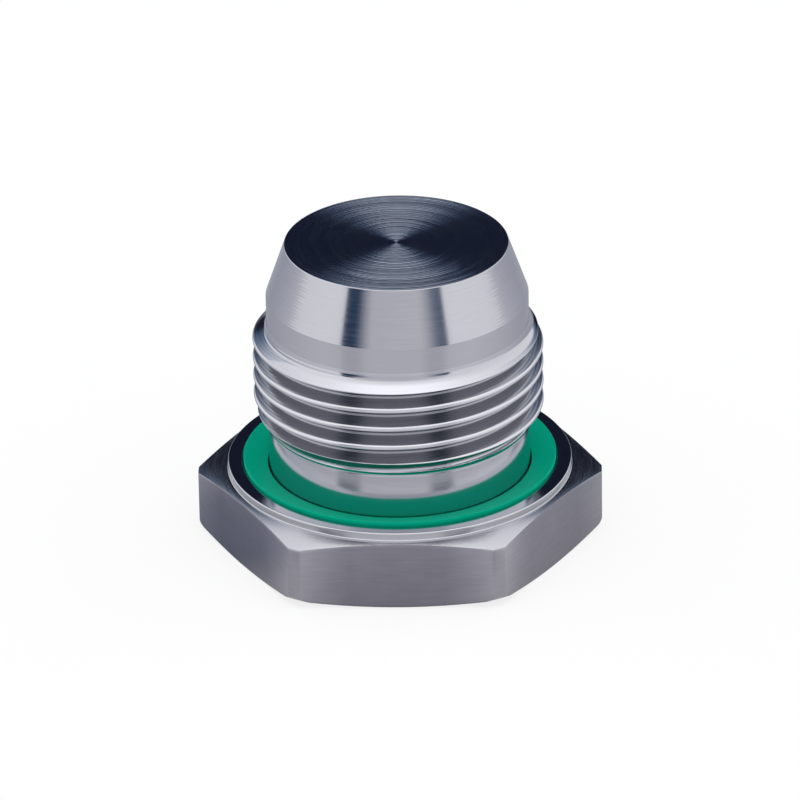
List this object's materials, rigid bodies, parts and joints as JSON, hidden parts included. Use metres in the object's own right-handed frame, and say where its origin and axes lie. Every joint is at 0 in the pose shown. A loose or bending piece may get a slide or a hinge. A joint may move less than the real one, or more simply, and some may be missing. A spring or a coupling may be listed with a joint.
{
  "type": "threaded closure plug",
  "caption": "Screw-in closure plug with a hexagon head, a collar that holds a sealing ring, a parallel pipe thread and a plain tapered nose.",
  "frame": {"origin": "centre of the head's outer face, which is the lowest face and carries the plug when it stands on its head", "axes": "+Z along the thread axis from the head to the nose; one flat of the hexagon faces -Y; +X runs to a corner of the hexagon"},
  "size_m": [0.0466, 0.041, 0.0362],
  "materials": {
    "plug_steel": "fine turned stainless steel, bright",
    "ring_rubber": "smooth moulded fluoroelastomer, emerald green"
  },
  "bodies": {
    "root": {"plug_body": "plug_steel", "seal_ring": "ring_rubber"}
  },
  "joints": []
}
